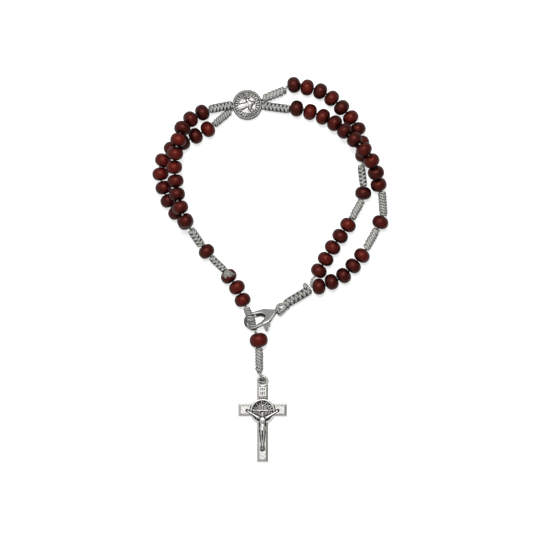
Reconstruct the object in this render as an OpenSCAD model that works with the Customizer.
// Rosary bracelet: wooden beads on a knotted cord, laid flat on a surface.
// It is in millimetres. The surface is z = 0, and the origin is under the middle of the piece.

/* [Beads] */
// Width of a bead, across its hole
bead_w = 5.86; // [5.2:0.02:6]
// Length of a bead, along its hole
bead_len = 4.42; // [4:0.02:4.46]
// Width of the hole drilled through a bead
bead_bore = 1.3; // [1.1:0.05:1.6]

/* [Cord] */
// Thickness of the cord that everything is strung on
cord_d = 0.9; // [0.6:0.05:1]
// Length of thread that shows straight at each mouth of a bead
thread_reach = 0.15; // [0.1:0.01:0.18]

/* [Knots] */
// Width of a wound knot of the loop
knot_w = 2.9; // [2.2:0.1:3]
// Width of the knot that joins the two left strands
junction_knot_w = 3.1; // [2.6:0.1:3.4]
// Width of the slim knot below the first bead of the drop
slim_knot_w = 2.4; // [2:0.1:2.8]
// Width of the knot that runs through the clasp
held_knot_w = 2.6; // [2:0.1:2.6]
// Width of the thick knot on the cord that carries the clasp
clasp_knot_w = 3.6; // [3:0.1:4]
// Thickness of one turn of cord in a knot
turn_w = 1.05; // [0.9:0.05:1.3]
// Width of the hole that the thread fills in a knot
knot_bore = 1.3; // [1.2:0.05:1.4]
// How much slimmer the two end turns of a knot are, each side
knot_taper = 0.45; // [0.3:0.05:0.5]

/* [Medal] */
// Diameter of the round medal
medal_d = 10.8; // [10:0.1:11]
// Thickness of the medal at its rim
medal_t = 3; // [2.6:0.1:3.6]
// Width of each of the two cord holes through the medal
medal_bore = 1.2; // [1.1:0.05:1.4]
// Distance between the two cord holes
medal_bore_gap = 1.8; // [1.7:0.05:2.2]
// Width of the rim round the medal's picture
medal_rim_w = 0.5; // [0.3:0.05:0.8]
// Height of the rim and the figure above the medal's sunk face
medal_relief = 0.5; // [0.3:0.05:0.7]

/* [Crucifix] */
// Width of the crossbar from tip to tip
cross_w = 17.5; // [14:0.1:22]
// Height of the crossbar
bar_h = 4.4; // [4:0.1:5]
// Width of the upright
shaft_w = 4; // [3.4:0.1:4.6]
// Distance from the crossbar's middle down to the foot of the upright
shaft_down = 18.7; // [17:0.1:20]
// Distance from the crossbar's middle up to the top of the upright
shaft_up = 9; // [8.6:0.1:10]
// Thickness of the crucifix plate
cross_t = 1.6; // [1.3:0.1:2]
// Height of the raised panel inside the plate's bevel
panel_t = 0.3; // [0.2:0.05:0.5]
// Width of the bevel round the raised panel
bevel_w = 0.7; // [0.4:0.05:0.9]
// Diameter of the round disc behind the head
disc_d = 9; // [7:0.1:10]
// Height of the disc above the plate
disc_t = 0.5; // [0.35:0.05:0.6]
// Distance from the crossbar's middle down to the disc's middle
disc_drop = 0.5; // [0:0.1:0.8]
// Height of the figure, from its hands to its feet
figure_h = 13.6; // [12:0.1:14.5]
// Width of the nameplate
plate_w = 2.8; // [2.2:0.1:3.2]
// Height of the nameplate
plate_h = 4.2; // [3.4:0.1:4.4]
// Inner radius of the eye ring
eye_r = 1.25; // [1.15:0.05:1.4]
// Thickness of the eye ring's wire
eye_wire = 0.9; // [0.7:0.05:1]

/* [Clasp] */
// Radius of the clasp's round end
claw_r = 3.4; // [3.2:0.05:3.5]
// Radius of the clasp's body
body_r = 3; // [2.8:0.05:3.1]
// Radius of the clasp's tail
tail_r = 0.7; // [0.6:0.05:0.9]
// Thickness of the clasp
clasp_t = 1.5; // [1.4:0.1:1.6]
// Thickness of the lever
lever_t = 0.7; // [0.5:0.05:0.8]
// Width of the band round the clasp's opening
band_w = 1; // [0.9:0.05:1.1]
// Clearance between the lever and the clasp's body
lever_gap = 0.12; // [0.1:0.01:0.15]
// Radius of the lever's pin
pin_r = 0.35; // [0.25:0.05:0.4]
// Radius of the lever's hub
hub_r = 0.8; // [0.7:0.05:0.9]
// Length of the lever's thumb tab
tab_len = 2.4; // [1.6:0.1:3]
// Width of the lever's thumb tab
tab_w = 1.5; // [1.2:0.1:1.8]
// Outer radius of the ring at the clasp's tail
tail_ring_r = 1.25; // [1.1:0.05:1.3]
// Radius of the hole in the ring at the clasp's tail
tail_hole_r = 0.65; // [0.55:0.05:0.7]
// Width of the ring at the clasp's tail
tail_ring_w = 1.2; // [1:0.1:1.4]

/* [Hidden] */
// Places of chosen points along each run of beads: x, y and lift above the surface in bead widths
LEFT_UPPER = [
    [-24.5, 56.5, 0.05], [-30.5, 52.5, 0.42], [-33, 46, 1.02], [-34.5, 38.5, 0.8],
    [-34, 31.5, 0.6], [-33, 24.5, 0.92], [-30.5, 17.5, 1.04],
];
LEFT_LOWER = [
    [-22.5, 50.5, 0], [-29, 47, 0], [-35.5, 43.5, 0], [-39.5, 37, 0],
    [-38.5, 29.5, 0], [-35.5, 22.5, 0], [-30.5, 17, 0],
];
RIGHT_UPPER = [[8.5, 66.5, 0], [18.5, 64, 0], [26, 58, 0], [31.5, 50.5, 0], [33.5, 41, 0]];
RIGHT_LOWER = [
    [9.5, 58, 0], [16.5, 56, 0.03], [22.5, 53, 0.28], [28, 48.5, 0.78],
    [33, 43.5, 1.05], [37, 37.5, 0.7], [39, 30.5, 0.05],
];
FOLD_OUT = [[28, 16, 0], [22.5, 8, 0], [17.5, -0.5, 0]];
FOLD_BACK = [[17.5, -6.2, 0], [26, -2.5, 0], [33, 5, 0]];
DROP_THREE = [[-15, -2.5, 0], [-12, -6.5, 0], [-10, -11, 0]];

// Single beads: x and y of the middle, and the direction of the hole in degrees
LOOP_BEAD_UPPER = [33.5, 27.5, 264];
LOOP_BEAD_LOWER = [39.64, 17, 68];
DROP_BEAD_FIRST = [-23, 6.5, -50];
DROP_BEAD_LAST = [-4, -25.5, -80];

// Axes of the wound knots, from end to end in the order of the thread
K_LEFT_UPPER = [[-21.5, 58, 2.6], [-14.2, 59.5, 2.1]];
K_RIGHT_UPPER = [[-2.4, 62, 2], [5, 64.8, 2.6]];
K_SIDE_UPPER = [[33, 37, 2.4], [34, 30.5, 2.4]];
K_SIDE_MIDDLE = [[33, 24.8, 2.4], [29.5, 18.6, 2.4]];
K_SIDE_LOWER = [[34.6, 7.8, 2.4], [38.3, 14.2, 2.4]];
K_SIDE_OUTER = [[40.5, 19.8, 2.4], [40, 27.7, 2.6]];
K_RIGHT_LOWER = [[6.6, 58, 2.4], [-2.5, 59.2, 1.8]];
K_LEFT_LOWER = [[-14.8, 56.8, 1.5], [-20, 52.5, 2.4]];
K_JUNCTION = [[-28.2, 13.8, 5.2], [-25, 9, 2.9]];
K_SLIM = [[-21, 4, 2.6], [-16.8, 0, 2.6]];
K_CROSS = [[-4, -28.4, 2.2], [-4, -36.4, 1.7]];
K_CLASP = [[6, -12.5, 2.2], [14.2, -7.6, 2.4]];

// Points where the thread bends round the fold, beside the clasp's knot
FOLD_TURN = [[15, -3.6, 2.9], [14.5, -5.6, 2.8]];

// Route of the knot that runs over the clasp's upper rim and under its lever
K_HELD = [[-8.6, -14, 2.9], [-7.9, -15.6, 3.6], [-7.2, -17.3, 3.6], [-6.8, -19, 1.55], [-5.8, -22, 1.45]];
// Route of the loop of cord from the clasp's knot through the ring at the clasp's tail
CLASP_LOOP = [
    [5.4, -12.4, 2.4], [4.3, -12.7, 1.8], [3.2, -13, 1.1], [2.5, -13.8, 1.3], [2.8, -14.9, 2],
    [3.1, -15.9, 2.6], [3.9, -16.2, 2.7], [4.8, -15, 2.5], [5.5, -13.4, 2.2],
];
// Route of the loop of cord from the last knot through the crucifix's eye
CROSS_LOOP = [
    [-4.1, -37.1, 1.9], [-3.6, -37.6, 2.4], [-3.1, -38.3, 2.7], [-2.8, -39.4, 2.3], [-2.8, -39.8, 1.4],
    [-2.9, -39.3, 0.6], [-3.2, -38.3, 0.5], [-3.6, -37.5, 0.7], [-3.9, -37.1, 1.1],
];

// Place of the medal's middle, and the direction of its cord holes in degrees
MEDAL_AT = [-8.3, 59.4];
MEDAL_TURN = 8;
// Place of the crossbar's middle
CROSS_AT = [-2.8, -50.7];
// Place of the clasp's middle, its turn on the surface and its tilt about its long axis
CLASP_AT = [-3.9, -17.7, 2.5];
CLASP_TURN = 16;
CLASP_TILT = -31;

// The figure's joints, as shares of its height: x to one side, and y down from its hands
HAND = [0.4, 0];
SHOULDER = [0.09, -0.22];
HIP = [0.04, -0.53];
KNEE = [0.045, -0.68];
FOOT = [0.012, -0.97];
CHEST_TOP = -0.22;
WAIST = -0.38;
HEAD = -0.11;

// Outlines of the figure on the medal, as shares of the medal's diameter, x towards its head
ROBE = [
    [-0.287, -0.093], [-0.037, -0.065], [0.111, -0.093], [0.139, 0],
    [0.111, 0.093], [-0.037, 0.065], [-0.287, 0.093],
];
SLEEVE = [[0.111, 0.046], [0.046, 0.056], [0.083, 0.259], [0.13, 0.259]];
// How far along the head's middle lies, and the radius of the head
ROBED_HEAD = [0.204, 0.057];

// Places in the clasp's own plane, its long axis along x, and the reach of the lever's tip from its pin
CLAW_AT = [-2.4, -0.3];
BODY_AT = [1.8, 0.2];
TAIL_AT = [6, 1];
OPEN_AT = [0.6, 0.35];
PIN_AT = [3, -0.8];
TIP_REACH = 7.5;
SLOT_X = -1;
TAB_AT = [1.9, -2.6];

THREAD_SIDES = 6;
KNOT_SIDES = 10;
end_gap = 0.55;
bead_round = bead_len / 2;
bead_out = bead_w / 2 - bead_round;

// Point at a share from 0 to 1 of a smooth curve through the rows of p
function curve_at(p, share) =
    let (
        n = len(p),
        x = min(max(share, 0), 1) * (n - 1),
        i = min(floor(x), n - 2),
        t = x - i,
        a = i == 0 ? 2 * p[0] - p[1] : p[i - 1],
        d = i == n - 2 ? 2 * p[n - 1] - p[n - 2] : p[i + 2]
    )
    0.5 * (2 * p[i] + (p[i + 1] - a) * t + (2 * a - 5 * p[i] + 4 * p[i + 1] - d) * t * t
        + (3 * p[i] - a - 3 * p[i + 1] + d) * t * t * t);

function unit(v) = v / norm(v);
function between(a, b, c) = unit(unit(b - a) + unit(c - b));
function sum_to(v, i) = i < 0 ? 0 : v[i] + sum_to(v, i - 1);
function flipped(v) = [for (i = [len(v) - 1:-1:0]) v[i]];

// Rows of middle and direction for count beads, spread evenly along a run.
// The first and last beads turn halfway towards the points where the thread comes from and goes to.
function strung(run, count, before, after) =
    let (
        p = [for (r = run) [r[0], r[1], bead_w * (r[2] + 0.5)]],
        steps = 8 * (len(p) - 1),
        lengths = [for (i = [1:steps]) norm(curve_at(p, i / steps) - curve_at(p, (i - 1) / steps))],
        table = [for (i = [0:steps]) [sum_to(lengths, i - 1), i / steps]],
        total = table[steps][0]
    )
    [for (k = [0:count - 1])
        let (u = lookup(total * k / (count - 1), table))
        [
            curve_at(p, u),
            k == 0 ? between(before, p[0], curve_at(p, 0.05))
            : k == count - 1 ? between(curve_at(p, 0.95), curve_at(p, 1), after)
            : unit(curve_at(p, u + 0.01) - curve_at(p, u - 0.01)),
        ]];

function single(row) = [[row[0], row[1], bead_w / 2], [cos(row[2]), sin(row[2]), 0]];

// The two points where the thread leaves a bead or a list of beads
function mouths(beads, way = 1) =
    let (reach = bead_len / 2 + thread_reach)
    [for (b = way > 0 ? beads : flipped(beads)) each [b[0] - way * reach * b[1], b[0] + way * reach * b[1]]];

// The two points where the thread enters and leaves a knot
function through(ends) =
    let (reach = thread_reach * unit(ends[1] - ends[0]))
    [ends[0] - reach, ends[1] + reach];

function channel(side, way) =
    let (
        along = [cos(MEDAL_TURN), sin(MEDAL_TURN), 0],
        across = [-sin(MEDAL_TURN), cos(MEDAL_TURN), 0],
        middle = [MEDAL_AT[0], MEDAL_AT[1], medal_t / 2] + side * medal_bore_gap / 2 * across
    )
    [
        middle - way * (medal_d / 2 + thread_reach) * along,
        middle + way * (medal_d / 2 + thread_reach) * along,
    ];

// The two left strands meet side by side at the top of the junction knot
junction_top = K_JUNCTION[0] + end_gap * unit(K_JUNCTION[0] - K_JUNCTION[1]);
strand_aside = [0.25, -0.05, 0.45];

left_upper = strung(LEFT_UPPER, 10, K_LEFT_UPPER[0], junction_top);
left_lower = strung(LEFT_LOWER, 10, K_LEFT_LOWER[1], junction_top);
right_upper = strung(RIGHT_UPPER, 9, K_RIGHT_UPPER[1], K_SIDE_UPPER[0]);
right_lower = strung(RIGHT_LOWER, 10, K_RIGHT_LOWER[0], K_SIDE_OUTER[1]);
fold_out = strung(FOLD_OUT, 5, K_SIDE_MIDDLE[1], FOLD_TURN[0]);
fold_back = strung(FOLD_BACK, 5, FOLD_TURN[1], K_SIDE_LOWER[0]);
drop_three = strung(DROP_THREE, 3, K_SLIM[1], K_HELD[0]);

LOOP_PATH = concat(
    [junction_top + strand_aside],
    mouths(left_upper, -1),
    through(K_LEFT_UPPER), channel(1, 1), through(K_RIGHT_UPPER),
    mouths(right_upper),
    through(K_SIDE_UPPER), mouths([single(LOOP_BEAD_UPPER)]), through(K_SIDE_MIDDLE),
    mouths(fold_out), FOLD_TURN, mouths(fold_back),
    through(K_SIDE_LOWER), mouths([single(LOOP_BEAD_LOWER)]), through(K_SIDE_OUTER),
    mouths(right_lower, -1),
    through(K_RIGHT_LOWER), channel(-1, -1), through(K_LEFT_LOWER),
    mouths(left_lower),
    [junction_top - strand_aside]
);
DROP_PATH = concat(
    [K_JUNCTION[1] + end_gap * unit(K_JUNCTION[1] - K_JUNCTION[0])],
    mouths([single(DROP_BEAD_FIRST)]), through(K_SLIM), mouths(drop_three),
    [K_HELD[0] + end_gap * unit(K_HELD[0] - K_HELD[1])]
);
DROP_END_PATH = concat(
    [K_HELD[4] + end_gap * unit(K_HELD[4] - K_HELD[3])],
    mouths([single(DROP_BEAD_LAST)]), through(K_CROSS)
);

// A tube along a path: radii holds one radius, or one for each point and side
module tube(path, r, sides, up = [0, 0, 1]) {
    n = len(path);
    ways = [for (i = [0:n - 1]) unit(path[min(i + 1, n - 1)] - path[max(i - 1, 0)])];
    points = [for (i = [0:n - 1])
        let (u = unit(cross(ways[i], up)), v = cross(u, ways[i]))
        for (k = [0:sides - 1])
            let (a = 360 * k / sides, size = is_num(r) ? r : r[i][k])
            path[i] + size * (cos(a) * u + sin(a) * v)];
    walls = [for (i = [0:n - 2], k = [0:sides - 1])
        let (a = i * sides + k, b = i * sides + (k + 1) % sides)
        each [[a, b, a + sides], [b, b + sides, a + sides]]];
    polyhedron(
        points,
        concat(walls, [[for (k = [sides - 1:-1:0]) k]], [[for (k = [0:sides - 1]) (n - 1) * sides + k]])
    );
}

module along(a, b) {
    d = b - a;
    translate(a) rotate([0, acos(d[2] / norm(d)), atan2(d[1], d[0])]) children();
}

module bead(row) {
    color("sienna")
        along(row[0], row[0] + row[1])
            rotate_extrude($fn = 48)
                difference() {
                    translate([bead_out, 0]) circle(bead_round, $fn = 48);
                    translate([-bead_w, -bead_len]) square([bead_w + bead_bore / 2, 2 * bead_len]);
                }
}

module beads(rows) {
    for (row = rows) bead(row);
}

// A barrel of cord turns, slimmer at its two ends, on the thread from a to b
module knot(ends, w) {
    size = norm(ends[1] - ends[0]);
    count = max(3, round(size / turn_w));
    r = size / count * 0.56;
    step = (size - 2 * r) / (count - 1);
    color("gray")
        along(ends[0], ends[1])
            rotate_extrude($fn = 48) {
                translate([knot_bore / 2, r]) square([(w - knot_bore) / 2 - 0.8 * r, size - 2 * r]);
                for (i = [0:count - 1])
                    let (end = i == 0 || i == count - 1)
                    intersection() {
                        translate([w / 2 - r - (end ? knot_taper : 0), r + i * step]) circle(r, $fn = 24);
                        translate([knot_bore / 2, 0]) square([w, size]);
                    }
            }
}

module bent_knot(route, w) {
    rings = 26;
    turns = 8;
    path = [for (i = [0:rings]) curve_at(route, i / rings)];
    sizes = [for (i = [0:rings])
        [for (k = [0:KNOT_SIDES - 1])
            let (
                end = min(1, min(i, rings - i) / 3),
                wave = cos(360 * (turns * i / rings + k / KNOT_SIDES))
            )
            w / 2 - turn_w / 7 * (1 - wave) - knot_taper * (1 - end)]];
    color("gray") tube(path, sizes, KNOT_SIDES);
}

module smooth_tube(route, r, rings, up) {
    color("darkgray") tube([for (i = [0:rings]) curve_at(route, i / rings)], r, THREAD_SIDES, up);
}

module thread(path) {
    color("darkgray") tube(path, cord_d / 2, THREAD_SIDES);
}

module medal() {
    color("silver")
        translate([MEDAL_AT[0], MEDAL_AT[1], 0]) rotate(MEDAL_TURN) {
            difference() {
                rotate_extrude($fn = 72) {
                    square([medal_d / 2, medal_t - medal_relief]);
                    translate([medal_d / 2 - medal_rim_w, 0]) square([medal_rim_w, medal_t]);
                    translate([medal_d / 2 - 3 * medal_rim_w, 0])
                        square([0.6 * medal_rim_w, medal_t - 0.4 * medal_relief]);
                }
                for (side = [-1, 1])
                    translate([0, side * medal_bore_gap / 2, medal_t / 2]) rotate([0, 90, 0])
                        cylinder(h = 2 * medal_d, d = medal_bore, center = true, $fn = 24);
            }
            translate([0, 0, medal_t - medal_relief - 0.2]) rotate(4) medal_figure();
        }
}

// A robed figure with open arms, lying along x with its head at the right
module medal_figure() {
    h = medal_relief + 0.2;
    linear_extrude(h) polygon(medal_d * ROBE);
    translate([medal_d * ROBED_HEAD[0], 0, 0]) cylinder(h = h, r = medal_d * ROBED_HEAD[1], $fn = 24);
    for (side = [-1, 1])
        linear_extrude(0.85 * h) polygon([for (p = SLEEVE) medal_d * [p[0], side * p[1]]]);
}

module crucifix() {
    eye_at = shaft_up + eye_r + eye_wire / 2 - 0.05;
    color("silver")
        translate([CROSS_AT[0], CROSS_AT[1], 0]) {
            cross_plate(0, cross_t);
            cross_plate(bevel_w, cross_t + panel_t);
            translate([0, -disc_drop, 0]) disc(cross_t + disc_t);
            translate([-plate_w / 2, shaft_up - plate_h, 0])
                cube([plate_w, plate_h - 0.2, cross_t + panel_t + 0.4]);
            translate([0, eye_at, cross_t])
                rotate_extrude($fn = 48)
                    translate([eye_r + eye_wire / 2, 0]) circle(d = eye_wire, $fn = 24);
            corpus(cross_t + panel_t);
        }
}

// The round disc behind the head, with a raised rim
module disc(t) {
    rim = 0.5;
    rotate_extrude($fn = 72) {
        square([disc_d / 2, t]);
        translate([disc_d / 2 - 1.2 * rim, 0]) square([rim, t + 0.2]);
    }
}

module cross_plate(inset, t) {
    translate([-cross_w / 2 + inset, -bar_h / 2 + inset, 0])
        cube([cross_w - 2 * inset, bar_h - 2 * inset, t]);
    translate([-shaft_w / 2 + inset, -shaft_down + inset, 0])
        cube([shaft_w - 2 * inset, shaft_down + shaft_up - 2 * inset, t]);
}

// The figure on the cross, plainly massed in steps, with its face left smooth
module corpus(z) {
    for (side = [-1, 1]) {
        limb(HAND, SHOULDER, 0.4, 0.5, side, z + 0.45);
        limb(HIP, KNEE, 0.65, 0.5, side, z + 0.9);
        limb(KNEE, FOOT, 0.5, 0.32, side, z + 0.7);
    }
    limb([0, CHEST_TOP], [0, WAIST], 1.15, 0.8, 1, z + 0.8);
    limb([0, WAIST + 0.02], [0, HIP[1]], 0.85, 1.1, 1, z + 1);
    translate([0, HEAD * figure_h, z + 0.4]) sphere(0.8, $fn = 32);
    translate([-0.75, FOOT[1] * figure_h - 1.5, 0]) cube([1.5, 1.3, z + 0.35]);
}

module limb(a, b, r1, r2, side, top) {
    linear_extrude(top)
        drop_shape(figure_h * [side * a[0], a[1]], r1, figure_h * [side * b[0], b[1]], r2);
}

module in_clasp() {
    translate(CLASP_AT) rotate(CLASP_TURN) rotate([CLASP_TILT, 0, 0]) children();
}

// Two circles joined by straight sides, a hair inside the tangents so that they cross the circles cleanly
module drop_shape(a, ra, b, rb) {
    d = b - a;
    turn = atan2(d[1], d[0]);
    lean = acos((ra - rb) / norm(d));
    translate(a) circle(ra, $fn = 64);
    translate(b) circle(rb, $fn = 64);
    polygon([
        for (row = [[a, ra, 1], [b, rb, 1], [b, rb, -1], [a, ra, -1]])
            row[0] + 0.992 * row[1] * [cos(turn + row[2] * lean), sin(turn + row[2] * lean)],
    ]);
}

module clasp_body() {
    color("silver")
        in_clasp() {
            difference() {
                union() {
                    translate([0, 0, -clasp_t / 2])
                        linear_extrude(clasp_t)
                            difference() {
                                union() {
                                    drop_shape(CLAW_AT, claw_r, BODY_AT, body_r);
                                    drop_shape(BODY_AT, body_r, TAIL_AT, tail_r);
                                }
                                drop_shape(CLAW_AT, claw_r - band_w, OPEN_AT, body_r - 1.5);
                                gate_gap();
                            }
                    tail_round(tail_ring_r, tail_ring_w);
                }
                tail_round(tail_hole_r, 2 * tail_ring_w);
                lever_room();
            }
            translate([PIN_AT[0], PIN_AT[1], 0])
                cylinder(h = clasp_t - 0.2, r = pin_r, center = true, $fn = 24);
        }
}

// A round bar across the tail, for the ring and for its hole
module tail_round(r, w) {
    translate([TAIL_AT[0] + tail_ring_r, TAIL_AT[1], 0]) rotate([90, 0, 0])
        cylinder(h = w, r = r, center = true, $fn = 32);
}

// The stretch of the lower band that the lever closes, which ends in an arc about the pin
module gate_gap() {
    left = CLAW_AT[0] - claw_r;
    intersection() {
        translate([left, CLAW_AT[1] - claw_r - 1]) square([OPEN_AT[0] - left, claw_r + 0.4]);
        translate(PIN_AT) circle(TIP_REACH + lever_gap, $fn = 96);
    }
}

// The slot that the lever turns in
module lever_room() {
    t = lever_t + 2 * lever_gap;
    low = CLAW_AT[1] - claw_r - tab_len;
    translate([PIN_AT[0], PIN_AT[1], 0]) cylinder(h = t, r = hub_r + lever_gap, center = true, $fn = 32);
    translate([SLOT_X, low, -t / 2]) cube([PIN_AT[0] + hub_r - SLOT_X, PIN_AT[1] - low, t]);
    translate([SLOT_X, low, -t / 2]) cube([PIN_AT[0] - SLOT_X, PIN_AT[1] + hub_r - 0.2 - low, t]);
}

module clasp_lever() {
    color("silver")
        in_clasp()
            difference() {
                union() {
                    flat(lever_t) translate(PIN_AT) circle(hub_r, $fn = 32);
                    flat(lever_t) gate_arm();
                    flat(lever_t)
                        translate([TAB_AT[0] - tab_w / 2, TAB_AT[1] - tab_len]) square([tab_w, tab_len]);
                    flat(lever_t)
                        polygon([
                            CLAW_AT + [1.2, 0.1 - claw_r], TAB_AT + [tab_w / 2, -0.6],
                            PIN_AT + hub_r * [0.7, -0.7], PIN_AT + hub_r * [-0.7, 0.2],
                            CLAW_AT + [1.2, band_w - claw_r - 0.1],
                        ]);
                }
                translate([PIN_AT[0], PIN_AT[1], 0])
                    cylinder(h = 2 * lever_t, r = pin_r + lever_gap / 2, center = true, $fn = 32);
            }
}

module flat(t) {
    translate([0, 0, -t / 2]) linear_extrude(t) children();
}

// The arm of the lever follows the clasp's round end as far as the claw's tip
module gate_arm() {
    intersection() {
        difference() {
            translate(CLAW_AT) circle(claw_r, $fn = 64);
            translate(CLAW_AT) circle(claw_r - band_w + 0.1, $fn = 64);
        }
        translate(CLAW_AT - [claw_r, claw_r]) square([2 * claw_r, claw_r - 1.2]);
        translate(PIN_AT) circle(TIP_REACH, $fn = 96);
    }
}

beads(left_upper);  // beads_left_upper
beads(left_lower);  // beads_left_lower
beads(right_upper);  // beads_right_upper
beads(right_lower);  // beads_right_lower
beads(fold_out);  // beads_fold_out
beads(fold_back);  // beads_fold_back
bead(single(LOOP_BEAD_UPPER));  // bead_loop_upper
bead(single(LOOP_BEAD_LOWER));  // bead_loop_lower
bead(single(DROP_BEAD_FIRST));  // bead_drop_first
bead(drop_three[0]);  // bead_drop_two
bead(drop_three[1]);  // bead_drop_three
bead(drop_three[2]);  // bead_drop_four
bead(single(DROP_BEAD_LAST));  // bead_drop_last
knot(K_LEFT_UPPER, knot_w);  // knot_left_upper
knot(K_LEFT_LOWER, knot_w);  // knot_left_lower
knot(K_RIGHT_UPPER, knot_w);  // knot_right_upper
knot(K_RIGHT_LOWER, knot_w);  // knot_right_lower
knot(K_SIDE_UPPER, knot_w);  // knot_side_upper
knot(K_SIDE_MIDDLE, knot_w);  // knot_side_middle
knot(K_SIDE_LOWER, knot_w);  // knot_side_lower
knot(K_SIDE_OUTER, knot_w);  // knot_side_outer
knot(K_JUNCTION, junction_knot_w);  // knot_junction
knot(K_SLIM, slim_knot_w);  // knot_slim
bent_knot(K_HELD, held_knot_w);  // knot_held
knot(K_CROSS, knot_w);  // knot_cross
knot(K_CLASP, clasp_knot_w);  // knot_clasp
thread(LOOP_PATH);  // thread_loop
thread(DROP_PATH);  // thread_drop
thread(DROP_END_PATH);  // thread_drop_end
smooth_tube(CLASP_LOOP, cord_d / 2, 20, [0, 0, 1]);  // clasp_cord
smooth_tube(CROSS_LOOP, 0.4, 18, [1, 0, 0]);  // cross_cord
medal();
crucifix();
clasp_body();
clasp_lever();
